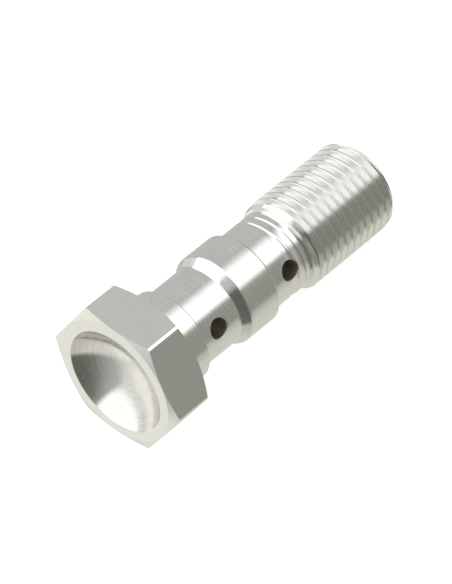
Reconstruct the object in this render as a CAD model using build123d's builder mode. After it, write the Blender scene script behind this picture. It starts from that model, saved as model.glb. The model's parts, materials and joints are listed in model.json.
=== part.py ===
"""Twin banjo bolt: a hollow hexagon-head bolt that feeds two banjo fittings.

The bolt is turned from one bar, so it is one solid. It lies as it comes to rest on a table:
a flat of the hexagon and the end of the thread touch the table, and the axis slopes down
towards the thread. The origin is on the table under the middle of the bolt, with +X along
the bolt towards the thread and +Z up. Sizes are in millimetres.

Turned profiles are drawn in the section plane of the bolt: x is the station along the axis,
counted from the bearing face under the head towards the thread, and y is the radius.
"""

import os
from math import atan2, cos, radians, sin, tan

from build123d import *

# ---------------------------------------------------------------- driving dimensions

# hexagon head
across_flats = 14.0
head_height = 5.0
chamfer_circle_inset = 0.1  # how far the turned circles lie inside the flats
face_chamfer_angle = 18.5  # from the outer face
bearing_chamfer_angle = 30.0  # from the bearing face
corner_break = 0.17  # taken off each flat along the six upright corners

# spherical dish in the outer face
face_ring_width = 1.12
dish_depth = 2.9
dish_lip_radius = 0.15

# thread blank, whose diameter the two collars share
thread_diameter = 10.0
thread_length = 10.75
lead_in_angle = 30.0  # from the axis
tip_chamfer_length = 0.75
tip_chamfer_depth = 0.6

# collars, and the two relieved necks that sit inside the banjo fittings
neck_relief = 0.6
under_head_collar_length = 3.15
first_neck_length = 5.0
middle_collar_length = 3.9
second_neck_length = 5.0
shoulder_break = 0.12
under_head_fillet = 0.2

# fluid passages
bore_diameter = 4.0
bore_overrun = 1.25  # full bore beyond the first cross hole's centre
bore_mouth_break = 0.3
drill_point_angle = 118.0
cross_hole_diameter = 2.1
first_hole_inset = 2.3  # from the start of the first neck
second_hole_inset = 2.7  # from the start of the second neck
cross_hole_tilt = 25.0  # above the table, on the -Y side of the bolt
cross_hole_break = 0.08

same_place = 1e-3  # edges closer than this count as the same edge

# ---------------------------------------------------------------- radii and stations

flat_radius = across_flats / 2
corner_radius = flat_radius / cos(radians(30))
chamfer_circle_radius = flat_radius - chamfer_circle_inset
dish_radius = chamfer_circle_radius - face_ring_width
thread_radius = thread_diameter / 2
neck_radius = thread_radius - neck_relief
tip_radius = thread_radius - tip_chamfer_depth
bore_radius = bore_diameter / 2
cross_hole_radius = cross_hole_diameter / 2

corner_reach = corner_radius - chamfer_circle_radius
face_chamfer_depth = corner_reach * tan(radians(face_chamfer_angle))
bearing_chamfer_depth = corner_reach * tan(radians(bearing_chamfer_angle))
lead_in_length = neck_relief / tan(radians(lead_in_angle))
drill_point_length = bore_radius / tan(radians(drill_point_angle / 2))

outer_face = -head_height
first_neck_start = under_head_collar_length
first_neck_end = first_neck_start + first_neck_length
middle_collar_start = first_neck_end + lead_in_length
middle_collar_end = middle_collar_start + middle_collar_length
second_neck_end = middle_collar_end + second_neck_length
thread_start = second_neck_end + lead_in_length
thread_end = thread_start + thread_length
tip = thread_end + tip_chamfer_length

first_hole = first_neck_start + first_hole_inset
second_hole = middle_collar_end + second_hole_inset
bore_end = first_hole - bore_overrun

# ---------------------------------------------------------------- how the bolt lies

# the lowest flat meets the table at the middle of its edge beside the bearing face
head_contact = -chamfer_circle_inset * tan(radians(bearing_chamfer_angle))
slope = atan2(flat_radius - thread_radius, thread_end - head_contact)
along = Vector(cos(slope), 0, -sin(slope))
above = Vector(sin(slope), 0, cos(slope))
sideways = Vector(0, 1, 0)

# the ends of the bolt either way along X, measured from the bearing face's centre
head_reach = outer_face * cos(slope) - chamfer_circle_radius * sin(slope)
tip_reach = tip * cos(slope) + tip_radius * sin(slope)
axis_height = thread_radius * cos(slope) + thread_end * sin(slope)
bearing_centre = Vector(-(head_reach + tip_reach) / 2, 0, axis_height)

bolt_axis = Axis(bearing_centre, along)
section = Plane(origin=bearing_centre, x_dir=along, z_dir=-sideways)
hole_direction = above * sin(radians(cross_hole_tilt)) - sideways * cos(radians(cross_hole_tilt))


def station(distance):
    """Point on the bolt's axis at a distance from the bearing face."""
    return bearing_centre + along * distance


def turned_edge(distance, radius):
    """Circular edge of the bolt being built, at a station and a radius."""
    return edges().filter_by(
        lambda edge: edge.geom_type == GeomType.CIRCLE
        and abs(edge.radius - radius) < same_place
        and (edge.arc_center - station(distance)).length < same_place
    )


# ---------------------------------------------------------------- the bolt

with BuildPart() as banjo_bolt:
    # hexagon, lying on a flat, with its upright corners broken
    with BuildSketch(Plane(origin=station(outer_face), x_dir=sideways, z_dir=along)):
        RegularPolygon(radius=flat_radius, side_count=6, major_radius=False)
        chamfer(vertices(), length=corner_break)
    extrude(amount=head_height)

    # both ends of the hexagon are turned down to a circle just inside the flats
    with BuildSketch(section):
        with BuildLine():
            Polyline(
                (outer_face, 0),
                (outer_face, chamfer_circle_radius),
                (outer_face + face_chamfer_depth, corner_radius),
                (-bearing_chamfer_depth, corner_radius),
                (0, chamfer_circle_radius),
                (0, 0),
                close=True,
            )
        make_face()
    revolve(axis=bolt_axis, mode=Mode.INTERSECT)

    # collars, necks and thread blank
    with BuildSketch(section):
        with BuildLine():
            Polyline(
                (0, 0),
                (0, thread_radius),
                (first_neck_start, thread_radius),
                (first_neck_start, neck_radius),
                (first_neck_end, neck_radius),
                (middle_collar_start, thread_radius),
                (middle_collar_end, thread_radius),
                (middle_collar_end, neck_radius),
                (second_neck_end, neck_radius),
                (thread_start, thread_radius),
                (thread_end, thread_radius),
                (tip, tip_radius),
                (tip, 0),
                close=True,
            )
        make_face()
    revolve(axis=bolt_axis)

    # dish in the outer face
    with BuildSketch(section):
        with BuildLine():
            bowl = TangentArc((outer_face + dish_depth, 0), (outer_face, dish_radius), tangent=(0, 1))
            Polyline(bowl @ 1, (outer_face, 0), bowl @ 0)
        make_face()
    revolve(axis=bolt_axis, mode=Mode.SUBTRACT)

    # cross holes drilled right through, so that each lets out on both sides of its neck
    with BuildSketch(Plane(origin=bearing_centre, x_dir=along, z_dir=hole_direction)):
        with Locations((first_hole, 0), (second_hole, 0)):
            Circle(cross_hole_radius)
    extrude(amount=thread_radius, both=True, mode=Mode.SUBTRACT)
    chamfer(edges(Select.LAST).filter_by(GeomType.BSPLINE), length=cross_hole_break)

    # blind bore from the tip, past the first cross hole
    with BuildSketch(section):
        with BuildLine():
            Polyline(
                (tip, 0),
                (tip, bore_radius),
                (bore_end, bore_radius),
                (bore_end - drill_point_length, 0),
                close=True,
            )
        make_face()
    revolve(axis=bolt_axis, mode=Mode.SUBTRACT)

    # turned edges
    fillet(turned_edge(outer_face, dish_radius), radius=dish_lip_radius)
    fillet(turned_edge(0, thread_radius), radius=under_head_fillet)
    chamfer(turned_edge(first_neck_start, thread_radius), length=shoulder_break)
    chamfer(turned_edge(middle_collar_end, thread_radius), length=shoulder_break)
    chamfer(turned_edge(tip, bore_radius), length=bore_mouth_break)

banjo_bolt.part.label = "banjo_bolt"

os.makedirs("parts", exist_ok=True)
export_step(banjo_bolt.part, "parts/banjo_bolt.step")
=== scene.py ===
"""Twin banjo bolt in bright turned steel, lying on a pale studio table.

The bolt is one closed surface, grown ring by ring along its axis: the dished hexagon head, the
collars and relieved necks, a true 60 degree helical thread and the axial bore. The cross holes
are then cut through it. Sizes are in millimetres until a point is placed in the frame.
"""

import json
import logging
from dataclasses import dataclass, field
from enum import Enum
from math import atan2, ceil, cos, pi, radians, sin, sqrt, tan

import bpy
import numpy as np
from mathutils import Matrix, Vector


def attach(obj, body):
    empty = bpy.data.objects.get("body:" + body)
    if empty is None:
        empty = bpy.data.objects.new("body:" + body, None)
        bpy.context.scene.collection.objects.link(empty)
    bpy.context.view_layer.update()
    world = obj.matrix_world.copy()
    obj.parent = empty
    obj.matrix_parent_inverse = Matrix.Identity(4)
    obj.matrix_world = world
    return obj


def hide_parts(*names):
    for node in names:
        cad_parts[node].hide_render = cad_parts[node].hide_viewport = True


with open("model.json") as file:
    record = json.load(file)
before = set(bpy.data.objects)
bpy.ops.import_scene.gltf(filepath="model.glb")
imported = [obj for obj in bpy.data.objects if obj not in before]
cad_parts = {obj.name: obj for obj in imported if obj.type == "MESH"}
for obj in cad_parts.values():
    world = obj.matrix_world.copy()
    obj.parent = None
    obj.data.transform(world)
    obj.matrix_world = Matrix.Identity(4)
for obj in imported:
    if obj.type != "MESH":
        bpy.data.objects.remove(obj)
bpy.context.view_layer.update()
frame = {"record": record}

MM = 0.001
log = logging.getLogger("banjo_bolt")
Tree = bpy.types.NodeTree
Socket = bpy.types.NodeSocket
MATH = "ShaderNodeMath"
VECTOR_MATH = "ShaderNodeVectorMath"
MAP_RANGE = "ShaderNodeMapRange"


# ---------------------------------------------------------------- colour and nodes


def linear(hex_colour: str) -> tuple[float, float, float, float]:
    """Turn an sRGB hex colour to linear light.

    Args:
        hex_colour: Colour such as "#C8C8C4".

    Returns:
        Linear red, green and blue, and an alpha of one.
    """
    parts = [int(hex_colour[i : i + 2], 16) / 255 for i in (1, 3, 5)]
    red, green, blue = (c / 12.92 if c <= 0.04045 else ((c + 0.055) / 1.055) ** 2.4 for c in parts)
    return red, green, blue, 1.0


def add_node(tree: Tree, kind: str, inputs: dict | None = None, **settings: object) -> bpy.types.Node:
    """Add a node with its settings, its fixed values and its links.

    Args:
        tree: Node tree that gets the node.
        kind: Blender's name of the node type.
        inputs: Input names or numbers, each with a value or the output socket that feeds it.
        **settings: Attributes set on the node itself.

    Returns:
        The new node.
    """
    node = tree.nodes.new(kind)
    for name, value in settings.items():
        setattr(node, name, value)
    for key, value in (inputs or {}).items():
        if isinstance(value, Socket):
            tree.links.new(value, node.inputs[key])
        else:
            node.inputs[key].default_value = value
    return node


# ---------------------------------------------------------------- where the bolt lies


@dataclass(frozen=True)
class Lie:
    """A turned shape's own axes in the frame: along it, above it and beside it."""

    centre: np.ndarray
    along: np.ndarray
    above: np.ndarray
    beside: np.ndarray

    @classmethod
    def from_record(cls, record: dict) -> "Lie":
        """Take the axis from the thread and the centre from the bearing face.

        Args:
            record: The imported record, with its mounts in metres.

        Returns:
            The lie of the bolt, with its centre in millimetres.
        """
        mounts = {mount["name"]: mount for mount in record["mounts"]}
        along = np.array(mounts["thread"]["axis"], float)
        on_axis = np.array(mounts["thread"]["pos_m"], float)
        on_face = np.array(mounts["bearing_face"]["pos_m"], float)
        centre = on_axis + along * np.dot(on_face - on_axis, along)
        above = np.array((-along[2], 0.0, along[0]))
        return cls(centre / MM, along, above, np.cross(along, above))

    def outward(self, angle: np.ndarray) -> np.ndarray:
        """Directions straight out from the axis, at angles turned from above."""
        return np.multiply.outer(np.cos(angle), self.above) + np.multiply.outer(np.sin(angle), self.beside)

    def around(self, angle: np.ndarray) -> np.ndarray:
        """Directions round the axis, at angles turned from above."""
        return np.multiply.outer(np.cos(angle), self.beside) - np.multiply.outer(np.sin(angle), self.above)

    def moved(self, distance: float, angle: float) -> "Lie":
        """The same axes, moved off sideways.

        Args:
            distance: Distance to move.
            angle: Way to move, in degrees from above.

        Returns:
            The moved axes.
        """
        centre = self.centre + distance * self.outward(np.array(radians(angle)))
        return Lie(centre, self.along, self.above, self.beside)

    def points(self, station: np.ndarray, radius: np.ndarray, angle: np.ndarray) -> np.ndarray:
        """Place points given by where they are round the axis.

        Args:
            station: Distances along the axis.
            radius: Distances from the axis.
            angle: Angles turned from above.

        Returns:
            Points in the frame, in millimetres.
        """
        out = self.outward(angle) * np.asarray(radius)[..., None]
        return self.centre + np.multiply.outer(station, self.along) + out


# ---------------------------------------------------------------- the surface


class Zone(Enum):
    """Stretches of the surface by how they were made, in material order."""

    DRAWN = 0
    FACED = 1
    BOWL = 2
    TURNED = 3
    THREAD = 4
    DRILLED = 5


@dataclass(frozen=True)
class Span:
    """Straight piece of a turned contour, with the surface's true normal at both ends."""

    start: tuple[float, float]
    end: tuple[float, float]
    start_normal: tuple[float, float]
    end_normal: tuple[float, float]


def contour(corners: list[tuple[float, float, float]]) -> list[Span]:
    """Draw a turned contour through its corners, each rounded by its own radius.

    Args:
        corners: Station, distance from the axis and rounding of each corner. Going on with
            growing stations, the metal lies on the axis side.

    Returns:
        The spans of the contour, with each arc cut into short spans.
    """
    widest_step = radians(15)
    spans: list[Span] = []
    here = corners[0][:2]
    for i in range(1, len(corners)):
        station, radius, rounding = corners[i]
        way = atan2(radius - here[1], station - here[0])
        turn = 0.0
        if rounding:
            onward = atan2(corners[i + 1][1] - radius, corners[i + 1][0] - station)
            turn = (onward - way + pi) % (2 * pi) - pi
        reach = rounding * tan(abs(turn) / 2)
        normal = (-sin(way), cos(way))
        there = (station - reach * cos(way), radius - reach * sin(way))
        spans.append(Span(here, there, normal, normal))
        here = there
        steps = ceil(abs(turn) / widest_step)
        for k in range(steps):
            first, last = way + turn * k / steps, way + turn * (k + 1) / steps
            chord = 2 * rounding * sin(abs(turn) / steps / 2)
            there = (here[0] + chord * cos((first + last) / 2), here[1] + chord * sin((first + last) / 2))
            spans.append(Span(here, there, (-sin(first), cos(first)), (-sin(last), cos(last))))
            here = there
    return spans


class Surface:
    """Closed surface grown from rings of points that go round an axis."""

    def __init__(self, lie: Lie, angles: np.ndarray) -> None:
        """Start with no points.

        Args:
            lie: The axes that the rings go round.
            angles: Angle of each column, growing through one turn.
        """
        self.lie = lie
        self.angles = angles
        self.closed_angles = np.append(angles, angles[0] + 2 * pi)
        self.points: list[np.ndarray] = []
        self.count = 0
        self.faces: list[tuple[int, ...]] = []
        self.normals: list[np.ndarray] = []
        self.zones: list[int] = []

    def add_points(self, points: np.ndarray) -> np.ndarray:
        """Keep points and number them.

        Args:
            points: Points in the frame, in millimetres.

        Returns:
            Their numbers.
        """
        self.points.append(points)
        self.count += len(points)
        return np.arange(self.count - len(points), self.count)

    def ring(self, station: float | np.ndarray, radius: float | np.ndarray) -> np.ndarray:
        """Add a ring of points, or one point where the radius is nothing.

        Args:
            station: Station of the whole ring, or of each column.
            radius: Radius of the whole ring, or of each column.

        Returns:
            Point number of each column, and of the first column again.
        """
        columns = len(self.angles)
        pole_radius = 1e-6
        if np.max(radius) < pole_radius:
            pole = self.add_points(self.lie.points(np.array([float(station)]), np.zeros(1), np.zeros(1)))
            return np.repeat(pole, columns + 1)
        stations = np.broadcast_to(station, columns)
        ids = self.add_points(self.lie.points(stations, np.broadcast_to(radius, columns), self.angles))
        return np.append(ids, ids[0])

    def turned_normals(self, normal: tuple[float, float]) -> np.ndarray:
        """Normals of a turned surface at every column, from the normal in its section."""
        return normal[0] * self.lie.along + normal[1] * self.lie.outward(self.closed_angles)

    def strip(
        self, first: np.ndarray, second: np.ndarray, starts: np.ndarray, ends: np.ndarray, zone: Zone
    ) -> None:
        """Join two rings by a band of faces.

        Args:
            first: Point numbers of the ring that the band starts from.
            second: Point numbers of the next ring.
            starts: Normals at the first ring, one for each column or, for flat faces, each face.
            ends: Normals at the second ring, likewise.
            zone: How the band was made.
        """
        # 1 where each column has its own normal, 0 where a face has one normal for both its sides
        step = len(starts) - len(first) + 1
        for c in range(len(first) - 1):
            corners = (first[c], first[c + 1], second[c + 1], second[c])
            normals = (starts[c], starts[c + step], ends[c + step], ends[c])
            kept = [k for k in range(4) if corners[k] != corners[k - 1]]
            if len(kept) > 2:
                self.faces.append(tuple(int(corners[k]) for k in kept))
                self.normals.extend(normals[k] for k in kept)
                self.zones.append(zone.value)

    def follow(self, ring: np.ndarray, spans: list[Span], zone: Zone) -> np.ndarray:
        """Turn a contour, starting from a ring.

        Args:
            ring: Point numbers of the ring where the contour starts.
            spans: The contour.
            zone: How it was made.

        Returns:
            Point numbers of the ring where the contour ends.
        """
        for span in spans:
            following = self.ring(*span.end)
            starts, ends = self.turned_normals(span.start_normal), self.turned_normals(span.end_normal)
            self.strip(ring, following, starts, ends, zone)
            ring = following
        return ring

    def build(self, name: str) -> bpy.types.Object:
        """Make the object, in metres, with the true normals kept on its face corners.

        Args:
            name: Name of the object and its mesh.

        Returns:
            The object, linked to the scene.
        """
        mesh = bpy.data.meshes.new(name)
        mesh.from_pydata(np.concatenate(self.points) * MM, [], self.faces)
        mesh.polygons.foreach_set("material_index", self.zones)
        mesh.shade_smooth()
        kept = mesh.attributes.new("true_normal", "FLOAT_VECTOR", "CORNER")
        kept.data.foreach_set("vector", np.concatenate(self.normals).astype(np.float32))
        piece = bpy.data.objects.new(name, mesh)
        bpy.context.scene.collection.objects.link(piece)
        return piece


# ---------------------------------------------------------------- parts of the bolt

# degrees that a side of the hexagon takes up, seen from its middle
SIDE = 60
HALF_SIDE = 30


@dataclass(frozen=True)
class HexagonHead:
    """Hexagon turned off at both ends, with a spherical dish in its outer face."""

    across_flats: float = 14.0
    height: float = 5.0
    chamfer_circle_inset: float = 0.1
    face_chamfer_angle: float = 18.5
    bearing_chamfer_angle: float = 30.0
    corner_break: float = 0.17
    face_ring_width: float = 1.12
    face_edge_rounding: float = 0.08
    dish_depth: float = 2.9
    dish_lip: float = 0.15
    dish_drift: float = 0.2
    dish_drift_angle: float = 165.0
    dish_rings: int = 28
    lip_rings: int = 5
    columns_on_flat: int = 32
    columns_on_corner: int = 2

    @property
    def circle_radius(self) -> float:
        """Radius that both ends of the hexagon are turned down to."""
        return self.across_flats / 2 - self.chamfer_circle_inset

    @property
    def break_distance(self) -> float:
        """Distance of the broken corners from the axis."""
        return self.across_flats / 2 / cos(radians(HALF_SIDE)) - self.corner_break * cos(radians(SIDE))

    @property
    def break_angle(self) -> float:
        """Half of the angle that a broken corner takes up, seen from the axis."""
        return atan2(self.corner_break * sin(radians(SIDE)), self.break_distance)

    def columns(self) -> np.ndarray:
        """Share out the surface's columns, so that they fall on the edges of the broken corners.

        Returns:
            Angle of each column.
        """
        angles = []
        for side in range(6):
            corner = radians(HALF_SIDE + SIDE * side)
            first, last = corner - self.break_angle, corner + self.break_angle
            following = first + radians(SIDE)
            angles.append(np.linspace(first, last, self.columns_on_corner, endpoint=False))
            angles.append(np.linspace(last, following, self.columns_on_flat, endpoint=False))
        return np.concatenate(angles)

    def outline(self, angles: np.ndarray) -> np.ndarray:
        """Find the hexagon's side.

        Args:
            angles: Angles turned from above.

        Returns:
            Distance of the side from the axis at each angle.
        """
        half = radians(HALF_SIDE)
        from_flat = np.abs((angles + half) % radians(SIDE) - half)
        side = self.across_flats / 2 / np.cos(from_flat)
        return np.minimum(side, self.break_distance / np.cos(half - from_flat))

    def face_normals(self, surface: Surface) -> np.ndarray:
        """Find which way the flats and the broken corners face.

        Args:
            surface: The bolt's surface, for its columns.

        Returns:
            One normal for each face of a band.
        """
        half = radians(HALF_SIDE)
        middles = (surface.closed_angles[1:] + surface.closed_angles[:-1]) / 2
        from_flat = (middles + half) % radians(SIDE) - half
        on_corner = np.abs(from_flat) > half - self.break_angle
        flat = middles - from_flat
        return surface.lie.outward(np.where(on_corner, flat + np.sign(from_flat) * half, flat))

    def dish(self) -> list[Span]:
        """Draw the spherical dish, from its deepest point to the face ring.

        Returns:
            The spans of its contour.
        """
        outer = -self.height
        rim = self.circle_radius - self.face_ring_width
        bowl = (rim**2 + self.dish_depth**2) / (2 * self.dish_depth)
        middle = outer + self.dish_depth - bowl
        lip_station = outer + self.dish_lip
        lip_radius = sqrt((bowl + self.dish_lip) ** 2 - (lip_station - middle) ** 2)
        rim_angle = atan2(lip_radius, lip_station - middle)
        points, normals = [], []
        for angle in np.linspace(0, rim_angle, self.dish_rings):
            points.append((middle + bowl * cos(angle), bowl * sin(angle)))
            normals.append((-cos(angle), -sin(angle)))
        for angle in np.linspace(rim_angle, 0, self.lip_rings)[1:]:
            back, inward = self.dish_lip * cos(angle), self.dish_lip * sin(angle)
            points.append((lip_station - back, lip_radius - inward))
            normals.append((-cos(angle), -sin(angle)))
        return [Span(*pair) for pair in zip(points, points[1:], normals, normals[1:])]

    def grow(self, surface: Surface) -> np.ndarray:
        """Grow the head from the bottom of the dish to the bearing face.

        Args:
            surface: The bolt's surface, still empty.

        Returns:
            Point numbers of the ring where the bearing face starts.
        """
        dish = self.dish()
        outer, circle = -self.height, self.circle_radius
        slope = radians(self.face_chamfer_angle)
        centred = surface.lie
        surface.lie = centred.moved(self.dish_drift, self.dish_drift_angle)
        ring = surface.ring(*dish[0].start)
        ring = surface.follow(ring, dish, Zone.BOWL)
        surface.lie = centred
        edge = self.chamfer_circle_inset / 2
        face = contour(
            [
                (*dish[-1].end, 0),
                (outer, circle, self.face_edge_rounding),
                (outer + edge * tan(slope), circle + edge, 0),
            ]
        )
        ring = surface.follow(ring, face, Zone.FACED)

        outline = self.outline(surface.angles)
        front = surface.ring(outer + (outline - circle) * tan(slope), outline)
        cone = surface.turned_normals((-cos(slope), sin(slope)))
        surface.strip(ring, front, cone, cone, Zone.FACED)

        slope = radians(self.bearing_chamfer_angle)
        back = surface.ring((circle - outline) * tan(slope), outline)
        sides = self.face_normals(surface)
        surface.strip(front, back, sides, sides, Zone.DRAWN)
        bearing = surface.ring(0.0, circle)
        cone = surface.turned_normals((cos(slope), sin(slope)))
        surface.strip(back, bearing, cone, cone, Zone.FACED)
        return bearing


@dataclass(frozen=True)
class Shank:
    """Collars that locate the banjo eyes, and the relieved necks between them."""

    collar_radius: float = 5.0
    neck_radius: float = 4.4
    ramp_angle: float = 30.0
    under_head_fillet: float = 0.2
    under_head_collar: float = 3.15
    first_neck: float = 5.0
    middle_collar: float = 4.12
    second_neck: float = 4.78
    first_shoulder_break: float = 0.16
    second_shoulder_break: float = 0.3
    edge_rounding: float = 0.03
    neck_fillet: float = 0.08
    ramp_rounding: float = 0.6

    @property
    def ramp(self) -> float:
        """Length of the ramp from a neck up to the next collar."""
        return (self.collar_radius - self.neck_radius) / tan(radians(self.ramp_angle))

    @property
    def middle_collar_end(self) -> float:
        """Station of the shoulder where the second neck starts."""
        return self.under_head_collar + self.first_neck + self.ramp + self.middle_collar

    @property
    def second_neck_end(self) -> float:
        """Station where the ramp up to the thread starts."""
        return self.middle_collar_end + self.second_neck

    def grow(self, surface: Surface, ring: np.ndarray, head: HexagonHead, end: float) -> np.ndarray:
        """Turn the bearing face, the collars and the necks.

        Args:
            surface: The bolt's surface.
            ring: Point numbers of the ring where the bearing face starts.
            head: The head, for the size of its bearing face.
            end: Station on the second neck where the thread takes over.

        Returns:
            Point numbers of the last ring.
        """
        high, low = self.collar_radius, self.neck_radius
        edge, cut, wide_cut = self.edge_rounding, self.first_shoulder_break, self.second_shoulder_break
        first_end = self.under_head_collar + self.first_neck
        corners = [
            (0.0, head.circle_radius, 0),
            (0.0, high, self.under_head_fillet),
            (self.under_head_collar - cut, high, edge),
            (self.under_head_collar, high - cut, edge),
            (self.under_head_collar, low, self.neck_fillet),
            (first_end, low, self.ramp_rounding),
            (first_end + self.ramp, high, self.ramp_rounding),
            (self.middle_collar_end - wide_cut, high, edge),
            (self.middle_collar_end, high - wide_cut, edge),
            (self.middle_collar_end, low, self.neck_fillet),
            (end, low, 0),
        ]
        return surface.follow(ring, contour(corners), Zone.TURNED)


@dataclass
class Rows:
    """Rows of points across one turn of the thread, with a normal on either side of each row."""

    stations: list[np.ndarray] = field(default_factory=list)
    radii: list[np.ndarray] = field(default_factory=list)
    before: list[tuple] = field(default_factory=list)
    after: list[tuple] = field(default_factory=list)

    def add(self, station: np.ndarray, radius: np.ndarray, normal: tuple) -> None:
        """Add a row with the same normal on both sides.

        Args:
            station: Station of the row's points, by column and turn.
            radius: Radius of the points, likewise.
            normal: The two parts of their normals in the section, likewise.
        """
        self.stations.append(station)
        self.radii.append(radius)
        self.before.append(normal)
        self.after.append(normal)

    @staticmethod
    def unrolled(values: list[np.ndarray]) -> np.ndarray:
        """Lay the values of all turns one after another, by column."""
        return np.stack(values, 2).reshape(len(values[0]), -1)


@dataclass(frozen=True)
class Thread:
    """Right-hand metric thread, whose cutter ran on a little into the second neck."""

    pitch: float = 1.0
    major_radius: float = 5.0
    crest_rounding: float = 0.108
    flank_angle: float = 30.0
    length: float = 10.75
    tip_chamfer_length: float = 0.75
    tip_radius: float = 4.4
    blank_rounding: float = 0.8
    # a groove's middle where it passes straight above the axis, and how early it is on the neck
    groove_station: float = 17.393
    early: float = 0.2
    # where the first groove fades in on the neck, and where the run-out gives way to full thread
    fade_start: float = 15.85
    fade_end: float = 16.05
    run_out_start: float = 17.3
    run_out_end: float = 18.5
    # the groove on the neck and in the full thread: its bottom's radius, the rounding of its
    # bottom and the angle that this turns through, and the head's side of it against the tip's
    root_bottom: tuple[float, float] = (4.337, 4.343)
    root_rounding: tuple[float, float] = (0.5, 0.1)
    root_tilt: tuple[float, float] = (29.0, 60.0)
    entry_ease: tuple[float, float] = (0.4, 1.0)
    blank_steps: int = 6
    root_steps: int = 6
    crest_steps: int = 6

    def start(self, shank: Shank) -> float:
        """Station where the blank comes to its full width."""
        return shank.second_neck_end + shank.ramp

    def tip(self, shank: Shank) -> float:
        """Station of the bolt's end."""
        return self.start(shank) + self.length + self.tip_chamfer_length

    def blank(self, shank: Shank, station: np.ndarray) -> np.ndarray:
        """Find the turned blank that the thread was cut into.

        Args:
            shank: The shank, for the ramp that leads up to the thread.
            station: Stations along the axis.

        Returns:
            Radius of the blank at each station.
        """
        ramp, rounding = radians(shank.ramp_angle), self.blank_rounding
        turned = np.linspace(0, ramp, self.blank_steps)
        foot = shank.second_neck_end - rounding * tan(ramp / 2) + rounding * np.sin(turned)
        rise = shank.neck_radius + rounding * (1 - np.cos(turned))
        full = self.start(shank)
        stations = (*foot, full, full + self.length, self.tip(shank))
        return np.interp(station, stations, (*rise, self.major_radius, self.major_radius, self.tip_radius))

    def along_run_out(self, station: np.ndarray, values: tuple[float, float]) -> np.ndarray:
        """A size of the groove, which goes from its value on the neck to its value in the thread."""
        return np.interp(station, (self.run_out_start, self.run_out_end), values)

    def drawn_back(self, groove: np.ndarray) -> np.ndarray:
        """Station of a groove, which comes a little early where the die starts to bite."""
        return groove - self.early + self.along_run_out(groove, (0.0, self.early))

    def fade(self, groove: np.ndarray) -> np.ndarray:
        """Share of its full depth that a groove has, which grows from nothing on the neck."""
        return np.interp(groove, (self.fade_start, self.fade_end), (0.0, 1.0))

    def flank_top(self, shank: Shank, foot: np.ndarray, root: np.ndarray, side: int) -> np.ndarray:
        """Station where a flank meets the rounded crest or the blank, found by halving.

        Args:
            shank: The shank, for the blank's start.
            foot: Station of the flank's foot.
            root: Radius of the flank's foot.
            side: 1 for a flank that climbs with the station, or -1.

        Returns:
            Station of each flank's top.
        """
        run = tan(radians(self.flank_angle))
        crest_foot = self.major_radius - self.crest_rounding * (1 - sin(radians(self.flank_angle)))
        halvings = 30
        low, high = np.zeros_like(foot), np.ones_like(foot)
        for _ in range(halvings):
            middle = (low + high) / 2
            limit = np.minimum(self.blank(shank, foot + side * middle * run), crest_foot)
            above = root + middle > limit
            low, high = np.where(above, low, middle), np.where(above, middle, high)
        return foot + side * low * run

    def hollow(
        self, shank: Shank, groove: np.ndarray, share: float
    ) -> tuple[np.ndarray, np.ndarray, tuple]:
        """Find points on the round bottom of the grooves.

        Args:
            shank: The shank, for the neck that the first grooves fade out on.
            groove: Station of each groove.
            share: Place across the bottom, from -1 on the head's side to 1 on the tip's side.

        Returns:
            Station, radius and normal of each point.
        """
        ease = self.along_run_out(groove, self.entry_ease) if share < 0 else 1.0
        rounding = self.along_run_out(groove, self.root_rounding) / ease**2
        tilt = radians(1) * self.along_run_out(groove, self.root_tilt) * share * ease
        bottom = self.along_run_out(groove, self.root_bottom)
        radius = bottom + rounding * (1 - np.cos(tilt))
        depth = self.fade(groove)
        radius = shank.neck_radius + (radius - shank.neck_radius) * depth
        return groove + rounding * np.sin(tilt), radius, (-np.sin(tilt * depth), np.cos(tilt * depth))

    def flank(self, groove: np.ndarray, side: int) -> tuple[np.ndarray, np.ndarray]:
        """Find which way the flanks face, less steeply where the grooves run out.

        Args:
            groove: Station of each groove.
            side: 1 for the flank that climbs with the station, or -1.

        Returns:
            The two parts of each normal in the section.
        """
        full = self.along_run_out(groove, (self.root_tilt[0], 90 - self.flank_angle))
        if side < 0:
            full = full * self.along_run_out(groove, self.entry_ease)
        angle = radians(1) * full * self.fade(groove)
        return -side * np.sin(angle), np.cos(angle)

    def crest(self, shank: Shank, groove: np.ndarray, station: np.ndarray) -> tuple[np.ndarray, tuple]:
        """Find points on the rounded crests, or on the blank where it is lower.

        Args:
            shank: The shank, for the blank's start.
            groove: Station of the groove before each crest.
            station: Stations of the points.

        Returns:
            Radius and normal of each point.
        """
        reach, hair = 0.04, 0.001
        rise = self.blank(shank, station + reach) - self.blank(shank, station - reach)
        length = np.hypot(rise, 2 * reach)
        blank = self.blank(shank, station)
        lean = (station - groove - self.pitch / 2) / self.crest_rounding
        rounded = np.abs(lean) < cos(radians(self.flank_angle)) + hair
        up = np.sqrt(np.maximum(1 - lean**2, 0))
        arc = self.major_radius - self.crest_rounding * (1 - up)
        rounded &= arc < blank + hair
        normal = (np.where(rounded, lean, -rise / length), np.where(rounded, up, 2 * reach / length))
        return np.where(rounded, arc, blank), normal

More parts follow.
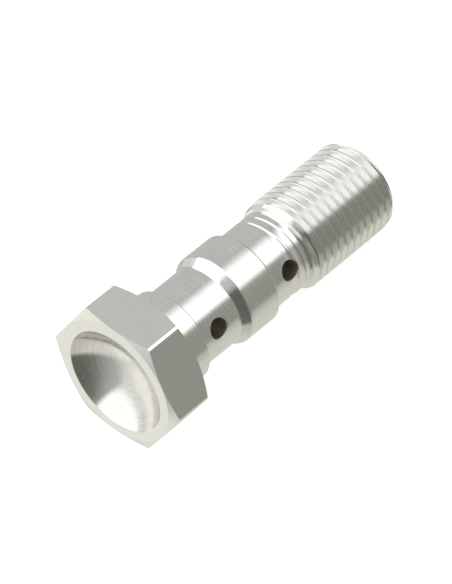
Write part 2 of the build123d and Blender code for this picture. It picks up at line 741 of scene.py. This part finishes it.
    def section(self, shank: Shank, grooves: np.ndarray, following: np.ndarray) -> Rows:
        """Draw each turn, from the bottom of its groove over its crest to the next groove.

        Args:
            shank: The shank that the thread is cut on.
            grooves: Station of each groove, by column and turn.
            following: Station of the groove after it, likewise.

        Returns:
            The rows of one turn.
        """
        rows = Rows()
        for share in np.linspace(-1, 1, self.root_steps + 1):
            rows.add(*self.hollow(shank, grooves, share))
        rows.before[0] = self.flank(grooves, -1)
        rows.after[-1] = self.flank(grooves, 1)
        least = 0.004
        top = self.flank_top(shank, rows.stations[-1], rows.radii[-1], 1)
        top = np.maximum(top, rows.stations[-1] + least)
        heel, heel_radius, _ = self.hollow(shank, following, -1.0)
        back_top = self.flank_top(shank, heel, heel_radius, -1)
        back_top = np.minimum(back_top, heel - least)
        widest = radians(90 - self.flank_angle)
        for step in range(self.crest_steps + 1):
            swing = widest * (2 * step / self.crest_steps - 1)
            station = (top + back_top) / 2 + (back_top - top) / 2 * sin(swing) / sin(widest)
            rows.add(station, *self.crest(shank, grooves, station))
        rows.before[self.root_steps + 1] = self.flank(grooves, 1)
        rows.after[-1] = self.flank(following, -1)
        return rows

    def directions(self, surface: Surface, normals: list[tuple], distances: np.ndarray) -> np.ndarray:
        """Turn normals in the section to directions in the frame, leaning with the helix.

        Args:
            surface: The bolt's surface, for its axes and columns.
            normals: The two parts of the normals of each row.
            distances: Distances of the points from the axis.

        Returns:
            Unit directions, by column and row.
        """
        along = Rows.unrolled([normal[0] for normal in normals])
        out = Rows.unrolled([normal[1] for normal in normals])
        lean = -along * self.pitch / (2 * pi * distances)
        whole = (
            along[..., None] * surface.lie.along
            + out[..., None] * surface.lie.outward(surface.closed_angles)[:, None]
            + lean[..., None] * surface.lie.around(surface.closed_angles)[:, None]
        )
        return whole / np.linalg.norm(whole, axis=2, keepdims=True)

    def grow(self, surface: Surface, ring: np.ndarray, shank: Shank, start: float) -> np.ndarray:
        """Cut the helix from the second neck to the tip.

        Args:
            surface: The bolt's surface.
            ring: Point numbers of the ring where the thread takes over.
            shank: The shank that the thread is cut on.
            start: Station of that ring.

        Returns:
            Point numbers of the ring at the tip.
        """
        tip, spare_turns = self.tip(shank), 2
        angles = surface.closed_angles
        first = int((start - self.groove_station) / self.pitch) - spare_turns
        last = int((tip - self.groove_station) / self.pitch) + spare_turns
        turns = np.arange(first, last)
        even = self.groove_station + self.pitch * (turns[None, :] + angles[:, None] / (2 * pi))
        rows = self.section(shank, self.drawn_back(even), self.drawn_back(even + self.pitch))
        per_turn = len(rows.stations)
        stations, distances = Rows.unrolled(rows.stations), Rows.unrolled(rows.radii)
        before = self.directions(surface, rows.before, distances)
        after = self.directions(surface, rows.after, distances)

        # rows that fall outside the thread are laid into the ring at that end
        margin = 0.02
        inside = (stations > start + margin) & (stations < tip - margin)
        end_ring = surface.ring(tip, self.tip_radius)
        ids = np.where(stations <= start + margin, ring[:, None], end_ring[:, None])
        column, row = np.nonzero(inside[:-1])
        ids[column, row] = surface.add_points(
            surface.lie.points(stations[column, row], distances[column, row], angles[column])
        )
        # after one turn each column comes back a turn further on
        ids[-1, :-per_turn] = ids[0, per_turn:]
        ids[-1, -per_turn:] = end_ring[0]
        for k in range(stations.shape[1] - 1):
            on_crest = self.root_steps < k % per_turn < per_turn - 1
            blank_left = on_crest and np.mean(stations[:, k]) < self.start(shank)
            zone = Zone.TURNED if blank_left else Zone.THREAD
            surface.strip(ids[:, k], ids[:, k + 1], after[:, k], before[:, k + 1], zone)
        return end_ring


@dataclass(frozen=True)
class Bore:
    """Oil bore drilled from the tip, ending under the head in the drill's point."""

    radius: float = 2.0
    mouth_break: float = 0.3
    mouth_rounding: float = 0.04
    end: float = 4.2
    point_angle: float = 118.0

    def grow(self, surface: Surface, ring: np.ndarray, thread: Thread, tip: float) -> None:
        """Face the tip and drill the bore, which closes the surface.

        Args:
            surface: The bolt's surface.
            ring: Point numbers of the ring at the tip.
            thread: The thread, for the size of the tip face.
            tip: Station of the tip face.
        """
        point = self.end - self.radius / tan(radians(self.point_angle / 2))
        mouth = self.radius + self.mouth_break
        face = contour(
            [
                (tip, thread.tip_radius, 0),
                (tip, mouth, self.mouth_rounding),
                (tip - self.mouth_break / 2, self.radius + self.mouth_break / 2, 0),
            ]
        )
        ring = surface.follow(ring, face, Zone.FACED)
        wall = contour(
            [
                (*face[-1].end, 0),
                (tip - self.mouth_break, self.radius, 0),
                (self.end, self.radius, 0),
                (point, 0.0, 0),
            ]
        )
        surface.follow(ring, wall, Zone.DRILLED)


@dataclass(frozen=True)
class CrossHole:
    """Hole drilled right through a neck and across the bore, with its rims broken."""

    station: float
    angle: float = 65.0
    radius: float = 1.05
    rim_break: float = 0.08
    overshoot: float = 0.5
    facets: int = 64

    def cutter(self, lie: Lie, shank: Shank, name: str) -> bpy.types.Object:
        """Make the closed shape that the hole takes out of the bolt.

        Args:
            lie: The bolt's axes.
            shank: The shank, for the neck that the hole goes through.
            name: Name of the cutter.

        Returns:
            The cutter, with the finished hole's normals on its faces.
        """
        turn = np.array(radians(self.angle))
        middle = lie.centre + self.station * lie.along
        drill = Lie(middle, lie.outward(turn), lie.along, -lie.around(turn))
        angles = np.linspace(0, 2 * pi, self.facets, endpoint=False)
        cut = Surface(drill, angles)
        rim = self.radius + self.rim_break
        depth = np.sqrt(shank.neck_radius**2 - (rim * np.sin(angles)) ** 2)
        far = shank.neck_radius + 2 * self.overshoot
        flare, out = sqrt(0.5), cut.turned_normals((0.0, -1.0))
        rings = [
            cut.ring(-far, 0.0),
            cut.ring(-depth - self.overshoot, rim + self.overshoot),
            cut.ring(self.rim_break - depth, self.radius),
            cut.ring(depth - self.rim_break, self.radius),
            cut.ring(depth + self.overshoot, rim + self.overshoot),
            cut.ring(far, 0.0),
        ]
        near_flare, far_flare = cut.turned_normals((-flare, -flare)), cut.turned_normals((flare, -flare))
        for i, normals in enumerate((out, near_flare, out, far_flare, out)):
            cut.strip(rings[i], rings[i + 1], normals, normals, Zone.DRILLED)
        return cut.build(name)


@dataclass(frozen=True)
class BanjoBolt:
    """The whole bolt: its head, shank, thread, bore and cross holes in one piece."""

    head: HexagonHead = HexagonHead()
    shank: Shank = Shank()
    thread: Thread = Thread()
    bore: Bore = Bore()
    cross_holes: tuple[CrossHole, ...] = (CrossHole(5.45), CrossHole(15.789))
    thread_takes_over: float = 15.8

    def build(self, lie: Lie, finishes: dict) -> bpy.types.Object:
        """Grow the bolt, cut its cross holes and dress it.

        Args:
            lie: The bolt's axes in the frame.
            finishes: Finish of each zone.

        Returns:
            The finished bolt.
        """
        surface = Surface(lie, self.head.columns())
        ring = self.head.grow(surface)
        ring = self.shank.grow(surface, ring, self.head, self.thread_takes_over)
        ring = self.thread.grow(surface, ring, self.shank, self.thread_takes_over)
        self.bore.grow(surface, ring, self.thread, self.thread.tip(self.shank))
        bolt = surface.build("banjo_bolt_skin")
        materials = [finishes[zone].build(lie) for zone in Zone]
        cutters = [hole.cutter(lie, self.shank, "cross_hole_cutter") for hole in self.cross_holes]
        for piece in (bolt, *cutters):
            for material in materials:
                piece.data.materials.append(material)
        self.cut(bolt, cutters)
        self.keep_normals(bolt.data)
        return bolt

    def cut(self, bolt: bpy.types.Object, cutters: list[bpy.types.Object]) -> None:
        """Take the cutters out of the bolt and clear them away.

        Args:
            bolt: The bolt.
            cutters: Closed shapes to take out of it.
        """
        for cutter in cutters:
            modifier = bolt.modifiers.new("cross_hole", "BOOLEAN")
            modifier.operation = "DIFFERENCE"
            modifier.solver = "EXACT"
            modifier.object = cutter
        graph = bpy.context.evaluated_depsgraph_get()
        cut = bpy.data.meshes.new_from_object(
            bolt.evaluated_get(graph), preserve_all_data_layers=True, depsgraph=graph
        )
        bolt.modifiers.clear()
        bolt.data = cut
        for cutter in cutters:
            bpy.data.objects.remove(cutter)

    def keep_normals(self, mesh: bpy.types.Mesh) -> None:
        """Shade a mesh by the true normals that its corners carry.

        Args:
            mesh: The mesh, with the attribute that Surface.build gave it.
        """
        kept = mesh.attributes["true_normal"]
        normals = np.zeros(len(mesh.loops) * 3, np.float32)
        kept.data.foreach_get("vector", normals)
        normals = normals.reshape(-1, 3)
        normals /= np.linalg.norm(normals, axis=1, keepdims=True)
        mesh.attributes.remove(kept)
        mesh.shade_smooth()
        mesh.normals_split_custom_set(normals.tolist())


# ---------------------------------------------------------------- finishes


class Lay(Enum):
    """Which way the marks of the tool run."""

    ROUND = "round the axis"
    LENGTHWISE = "along the bar"


@dataclass(frozen=True)
class SteelFinish:
    """Bare steel as one tool left it.

    Real marks of such tools are 0.02 to 0.1 mm apart, too fine to show in a view of the whole
    bolt, so mark_width and speckle_width draw them coarser.
    """

    name: str
    colour: str
    roughness: float
    lay: Lay
    mark_width: float
    relief: float
    unevenness: float = 0.06
    stretch: float = 0.0
    grain: float = 0.0
    speckle_width: float = 0.16
    # how finely lengthwise marks change along the bar, and round ones along one turn
    drawn_out: float = 0.12
    changes_round: float = 1.5

    def marks(self, tree: Tree, lie: Lie, place: Socket) -> Socket:
        """Draw the tool's marks, long the way that it ran.

        Args:
            tree: The material's node tree.
            lie: The bolt's axes.
            place: Where on the bolt, counted from its centre.

        Returns:
            Height of the marks.
        """
        station, up, aside = (
            add_node(tree, VECTOR_MATH, {0: place, 1: tuple(axis)}, operation="DOT_PRODUCT").outputs["Value"]
            for axis in (lie.along, lie.above, lie.beside)
        )
        unit = 1 / (self.mark_width * MM)
        if self.lay is Lay.LENGTHWISE:
            scaled = ((station, unit * self.drawn_out), (up, unit), (aside, unit))
            fourth: Socket | float = 0.0
        else:
            across = add_node(tree, "ShaderNodeCombineXYZ", {0: up, 1: aside}).outputs[0]
            radius = add_node(tree, VECTOR_MATH, {0: across}, operation="LENGTH").outputs["Value"]
            outward = add_node(tree, VECTOR_MATH, {0: across}, operation="NORMALIZE").outputs[0]
            high, wide = add_node(tree, "ShaderNodeSeparateXYZ", {0: outward}).outputs[:2]
            scaled = ((station, unit), (high, self.changes_round), (wide, self.changes_round))
            fourth = add_node(tree, MATH, {0: radius, 1: unit}, operation="MULTIPLY").outputs[0]
        parts = {
            i: add_node(tree, MATH, {0: value, 1: scale}, operation="MULTIPLY").outputs[0]
            for i, (value, scale) in enumerate(scaled)
        }
        vector = add_node(tree, "ShaderNodeCombineXYZ", parts).outputs[0]
        inputs = {"Vector": vector, "W": fourth, "Scale": 1.0, "Detail": 2.0, "Roughness": 0.6}
        return add_node(tree, "ShaderNodeTexNoise", inputs, noise_dimensions="4D").outputs[0]

    def tangent(self, tree: Tree, lie: Lie, place: Socket) -> Socket:
        """Find the way across the marks, which the highlight is stretched along.

        Args:
            tree: The material's node tree.
            lie: The bolt's axes.
            place: Where on the bolt, counted from its centre.

        Returns:
            The direction.
        """
        ran: Socket | tuple = tuple(lie.along)
        if self.lay is Lay.ROUND:
            ran = add_node(tree, VECTOR_MATH, {0: ran, 1: place}, operation="CROSS_PRODUCT").outputs[0]
        normal = add_node(tree, "ShaderNodeNewGeometry").outputs["Normal"]
        across = add_node(tree, VECTOR_MATH, {0: normal, 1: ran}, operation="CROSS_PRODUCT").outputs[0]
        return add_node(tree, VECTOR_MATH, {0: across}, operation="NORMALIZE").outputs[0]

    def build(self, lie: Lie) -> bpy.types.Material:
        """Make the material, with its marks in the right place on the bolt.

        Args:
            lie: The bolt's axes.

        Returns:
            The material.
        """
        material = bpy.data.materials.new(self.name)
        material.use_nodes = True
        tree = material.node_tree
        tree.nodes.clear()
        place = add_node(tree, "ShaderNodeTexCoord").outputs["Object"]
        centre = tuple(lie.centre * MM)
        place = add_node(tree, VECTOR_MATH, {0: place, 1: centre}, operation="SUBTRACT").outputs[0]
        marks = self.marks(tree, lie, place)
        fine = {"Vector": place, "Scale": 1 / (self.speckle_width * MM), "Detail": 1.0, "Roughness": 0.5}
        speckle = add_node(tree, "ShaderNodeTexNoise", fine).outputs[0]
        speckle = add_node(tree, MATH, {0: speckle, 1: 0.5}, operation="SUBTRACT").outputs[0]
        both = add_node(tree, MATH, {0: marks, 1: speckle}, operation="ADD").outputs[0]
        dull = {
            "Value": both,
            "From Min": 0.25,
            "From Max": 0.75,
            "To Min": self.roughness - self.unevenness,
            "To Max": self.roughness + self.unevenness,
        }
        pale = {
            "Value": both,
            "From Min": 0.2,
            "From Max": 0.8,
            "To Min": 1 - self.grain,
            "To Max": 1 + self.grain,
        }
        uneven = add_node(tree, MAP_RANGE, dull).outputs[0]
        tone = add_node(tree, MAP_RANGE, pale).outputs[0]
        tinted = {0: linear(self.colour)[:3], "Scale": tone}
        height = {"Height": marks, "Strength": 1.0, "Distance": self.relief * MM}
        steel = add_node(
            tree,
            "ShaderNodeBsdfPrincipled",
            {
                "Base Color": add_node(tree, VECTOR_MATH, tinted, operation="SCALE").outputs[0],
                "Metallic": 1.0,
                "Roughness": uneven,
                "Anisotropic": self.stretch,
                "Normal": add_node(tree, "ShaderNodeBump", height).outputs[0],
                "Tangent": self.tangent(tree, lie, place),
            },
        )
        add_node(tree, "ShaderNodeOutputMaterial", {"Surface": steel.outputs[0]})
        return material


FINISHES = {
    # Cold-drawn bar left as drawn: a fine lengthwise grain that mottles each flat's plain reflection.
    Zone.DRAWN: SteelFinish(
        name="Bright cold-drawn steel bar",
        colour="#E6E6E2",
        roughness=0.2,
        lay=Lay.LENGTHWISE,
        mark_width=0.16,
        relief=0.0001,
        unevenness=0.02,
        grain=0.03,
    ),
    # Faced in the lathe: a satin ring with faint circular marks.
    Zone.FACED: SteelFinish(
        name="Lathe-faced steel",
        colour="#E6E5E0",
        roughness=0.2,
        lay=Lay.ROUND,
        mark_width=0.12,
        relief=0.0006,
        grain=0.04,
    ),
    # Dished with a form tool: stretched reflections broken by rings.
    Zone.BOWL: SteelFinish(
        name="Steel dished with a form tool",
        colour="#E6E5E0",
        roughness=0.19,
        lay=Lay.ROUND,
        mark_width=0.25,
        relief=0.0035,
        stretch=0.8,
        grain=0.09,
    ),
    # Finish-turned: a clean highlight along the collars and necks.
    Zone.TURNED: SteelFinish(
        name="Finish-turned steel",
        colour="#E6E6E2",
        roughness=0.14,
        lay=Lay.ROUND,
        mark_width=0.14,
        relief=0.0005,
        stretch=0.5,
        grain=0.06,
    ),
    # Thread cut with a die: bright flanks, slightly torn.
    Zone.THREAD: SteelFinish(
        name="Die-cut threaded steel",
        colour="#E6E6E2",
        roughness=0.16,
        lay=Lay.ROUND,
        mark_width=0.1,
        relief=0.0004,
        stretch=0.5,
        grain=0.05,
    ),
    # Drilled and left: dull walls, whose darker colour is painted shade inside the holes and the bore.
    Zone.DRILLED: SteelFinish(
        name="Drilled steel darkened by painted shade",
        # darker than the rest of the steel: painted shade in the recesses
        colour="#C9C5B6",
        roughness=0.5,
        lay=Lay.ROUND,
        mark_width=0.15,
        relief=0.002,
    ),
}


# ---------------------------------------------------------------- the studio


class Tint(Enum):
    """Colours of the light."""

    WHITE = "#FFFFFF"
    CREAM = "#FFFFF4"
    IVORY = "#FFFEF4"
    EGGSHELL = "#FFFEF7"


def toward(azimuth: float, elevation: float) -> Vector:
    """Direction at an azimuth from +X towards +Y and an elevation above the table, in degrees."""
    a, e = radians(azimuth), radians(elevation)
    return Vector((cos(a) * cos(e), sin(a) * cos(e), sin(e)))


@dataclass(frozen=True, kw_only=True)
class Patch:
    """Patch of light or shade, far off round the bolt, that its bright steel reflects."""

    level: float
    softness: float
    tint: Tint = Tint.WHITE

    def mask(self, tree: Tree, way: Socket) -> Socket:
        """How much of the patch lies in the direction looked in, by its shape."""
        raise NotImplementedError

    def lay_over(self, tree: Tree, way: Socket, below: Socket | tuple) -> Socket:
        """Lay the patch over what is behind it.

        Args:
            tree: The world's node tree.
            way: Direction looked in.
            below: Colour of what is behind the patch.

        Returns:
            The colour with the patch.
        """
        colour = tuple(part * self.level for part in linear(self.tint.value)[:3]) + (1.0,)
        # in a mix of colours, 0 is the share, 6 and 7 are the colours and output 2 is the result
        layers = {0: self.mask(tree, way), 6: below, 7: colour}
        return add_node(tree, "ShaderNodeMix", layers, data_type="RGBA").outputs[2]


@dataclass(frozen=True, kw_only=True)
class Card(Patch):
    """Flat card, whose corners are directions given by azimuth and elevation."""

    corners: tuple[tuple[float, float], ...]

    def mask(self, tree: Tree, way: Socket) -> Socket:
        """Find what lies inside all the card's edges.

        Args:
            tree: The world's node tree.
            way: Direction looked in.

        Returns:
            One inside the card, and nothing outside it.
        """
        ways = [toward(*corner) for corner in self.corners]
        soft = sin(radians(self.softness))
        mask: Socket | float = 1.0
        for first, second in zip(ways, ways[1:] + ways[:1]):
            inward = tuple(first.cross(second).normalized())
            inside = add_node(tree, VECTOR_MATH, {0: way, 1: inward}, operation="DOT_PRODUCT")
            limits = {"Value": inside.outputs["Value"], "From Min": -soft, "From Max": soft}
            edge = add_node(tree, MAP_RANGE, limits, interpolation_type="SMOOTHSTEP")
            mask = add_node(tree, MATH, {0: mask, 1: edge.outputs[0]}, operation="MULTIPLY").outputs[0]
        return mask


@dataclass(frozen=True, kw_only=True)
class Pool(Patch):
    """Round pool, which fades out over its softness on both sides of its radius."""

    azimuth: float
    elevation: float
    radius: float

    def mask(self, tree: Tree, way: Socket) -> Socket:
        """Find what lies near the pool's middle.

        Args:
            tree: The world's node tree.
            way: Direction looked in.

        Returns:
            One inside the pool, and nothing outside it.
        """
        middle = tuple(toward(self.azimuth, self.elevation))
        near = add_node(tree, VECTOR_MATH, {0: way, 1: middle}, operation="DOT_PRODUCT")
        limits = {
            "Value": near.outputs["Value"],
            "From Min": cos(radians(self.radius + self.softness)),
            "From Max": cos(radians(max(self.radius - self.softness, 0))),
        }
        return add_node(tree, MAP_RANGE, limits, interpolation_type="SMOOTHSTEP").outputs[0]


@dataclass(frozen=True)
class Surroundings:
    """What the bright steel sees round it: softboxes, dark gaps and the pale table."""

    level: float = 0.5
    patches: tuple[Patch, ...] = (
        # the open side at the right
        Card(level=0.58, softness=6, corners=((30, 70), (30, -45), (80, -45), (80, 70))),
        # the grey wall at the near right
        Card(
            level=0.33,
            softness=6,
            tint=Tint.CREAM,
            corners=((-100, 35), (-100, -20), (-50, -20), (-50, 35)),
        ),
        # the dark room, fading in from the far side
        Card(
            level=0.22,
            softness=18,
            tint=Tint.CREAM,
            corners=((-167, 85), (-162, -80), (-97, -70), (-97, 70)),
        ),
        Card(
            level=0.14,
            softness=16,
            tint=Tint.CREAM,
            corners=((-148, 85), (-148, -80), (-100, -60), (-100, 60)),
        ),
        Pool(level=0.6, azimuth=-134, elevation=60, radius=8, softness=14),
        # the table, brighter at the far side and shaded at the near left
        Pool(level=0.76, azimuth=0, elevation=-90, radius=50, softness=5, tint=Tint.IVORY),
        Pool(level=1.1, azimuth=135, elevation=-45, radius=15, softness=20, tint=Tint.EGGSHELL),
        Pool(level=0.47, azimuth=-100, elevation=-60, radius=15, softness=14, tint=Tint.IVORY),
        Pool(level=0.7, azimuth=-20, elevation=-65, radius=35, softness=25, tint=Tint.IVORY),
        # the pale wall behind the table
        Card(level=0.8, softness=6, corners=((85, 11), (85, -38), (173, -38), (168, 11))),
        Card(
            level=1.05,
            softness=6,
            tint=Tint.EGGSHELL,
            corners=((85, -10), (85, -38), (158, -38), (148, -10)),
        ),
        # the dark gap beyond the tip
        Pool(level=0.15, azimuth=0, elevation=-4, radius=30, softness=6),
        # the key softbox, over the bolt's whole length
        Card(level=1.6, softness=4, corners=((-20.6, 67.7), (73.3, 15.3), (101.4, 17.4), (-152.5, 65.9))),
        Card(level=1.38, softness=14, corners=((-21.7, 27.9), (5.6, 33.8), (76.5, 82.3), (-87.7, 58.0))),
        Card(level=1.5, softness=8, corners=((-28.5, 22.0), (-10.2, 32.9), (-67.6, 74.8), (-83.6, 43.7))),
        # the second softbox, over the far side
        Card(
            level=1.35,
            softness=5,
            corners=((97, 7), (171, 7), (-176.5, 20), (-164, 40), (-146, 60), (-170, 72), (97, 66)),
        ),
        # the gap between the softboxes
        Pool(level=0.62, azimuth=-150, elevation=62, radius=4, softness=10),
    )

    def build(self) -> None:
        """Make the world that lights the bolt."""
        scene = bpy.context.scene
        scene.world = scene.world or bpy.data.worlds.new("studio")
        scene.world.use_nodes = True
        tree = scene.world.node_tree
        tree.nodes.clear()
        way = add_node(tree, "ShaderNodeTexCoord").outputs["Generated"]
        colour: Socket | tuple = (self.level, self.level, self.level, 1.0)
        for patch in self.patches:
            colour = patch.lay_over(tree, way, colour)
        glow = add_node(tree, "ShaderNodeBackground", {"Color": colour, "Strength": 1.0})
        add_node(tree, "ShaderNodeOutputWorld", {"Surface": glow.outputs[0]})


@dataclass(frozen=True)
class Table:
    """Pale table top that the bolt lies on, 4 m wide so that its edge is far out of view."""

    width: float = 4.0
    colour: str = "#C8C8C6"
    roughness: float = 0.9
    glow: float = 0.8
    glow_colour: str = "#FFFFFE"

    def build(self) -> bpy.types.Object:
        """Make the table, which the steel doesn't see in its reflections.

        Returns:
            The table.
        """
        half = self.width / 2
        corners = [(-half, -half, 0), (half, -half, 0), (half, half, 0), (-half, half, 0)]
        mesh = bpy.data.meshes.new("table")
        mesh.from_pydata(corners, [], [(0, 1, 2, 3)])
        table = bpy.data.objects.new("table", mesh)
        bpy.context.scene.collection.objects.link(table)
        # the surroundings hold the table that the steel reflects
        table.visible_glossy = False
        # Matt white laminate: an even white with no sheen and hardly a shadow, from its own faint glow.
        material = bpy.data.materials.new("White laminate")
        material.use_nodes = True
        tree = material.node_tree
        tree.nodes.clear()
        looks = {
            "Base Color": linear(self.colour),
            "Roughness": self.roughness,
            "Emission Color": linear(self.glow_colour),
            "Emission Strength": self.glow,
        }
        laminate = add_node(tree, "ShaderNodeBsdfPrincipled", looks)
        add_node(tree, "ShaderNodeOutputMaterial", {"Surface": laminate.outputs[0]})
        mesh.materials.append(material)
        return table


@dataclass(frozen=True)
class Viewpoint:
    """Long lens looking down along the bolt over its dished head."""

    azimuth: float = -46.173
    elevation: float = 49.689
    roll: float = -2.774
    target: tuple[float, float, float] = (-1.807, 0.005, 6.045)
    distance: float = 493.643
    lens: float = 314.5
    sensor: float = 36.0
    nearest: float = 10.0
    farthest: float = 10000.0

    def build(self) -> bpy.types.Object:
        """Place the camera and make it the scene's own.

        Returns:
            The camera.
        """
        camera = bpy.data.cameras.new("camera")
        camera.lens = self.lens
        camera.sensor_width = self.sensor
        camera.sensor_fit = "AUTO"
        camera.clip_start = self.nearest * MM
        camera.clip_end = self.farthest * MM
        holder = bpy.data.objects.new("camera", camera)
        bpy.context.scene.collection.objects.link(holder)
        back = toward(self.azimuth - 90, self.elevation)
        turn = (-back).to_track_quat("-Z", "Y").to_matrix().to_4x4()
        place = Matrix.Translation((Vector(self.target) + back * self.distance) * MM)
        holder.matrix_world = place @ turn @ Matrix.Rotation(radians(self.roll), 4, "Z")
        bpy.context.scene.camera = holder
        return holder


def main() -> None:
    """Build the bolt on its table, light it and place the camera, and report each piece."""
    logging.basicConfig(level=logging.INFO, format="%(name)s: %(message)s")
    bpy.context.scene.view_settings.view_transform = "Standard"
    lie = Lie.from_record(frame["record"])
    bolt = BanjoBolt().build(lie, FINISHES)
    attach(bolt, "root")
    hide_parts("banjo_bolt")
    log.info("bolt: %d faces", len(bolt.data.polygons))
    table = Table().build()
    log.info("table: %d face", len(table.data.polygons))
    Surroundings().build()
    log.info("surroundings: %d nodes", len(bpy.context.scene.world.node_tree.nodes))
    camera = Viewpoint().build()
    log.info("camera: %.1f mm lens", camera.data.lens)


if __name__ == "__main__":
    main()
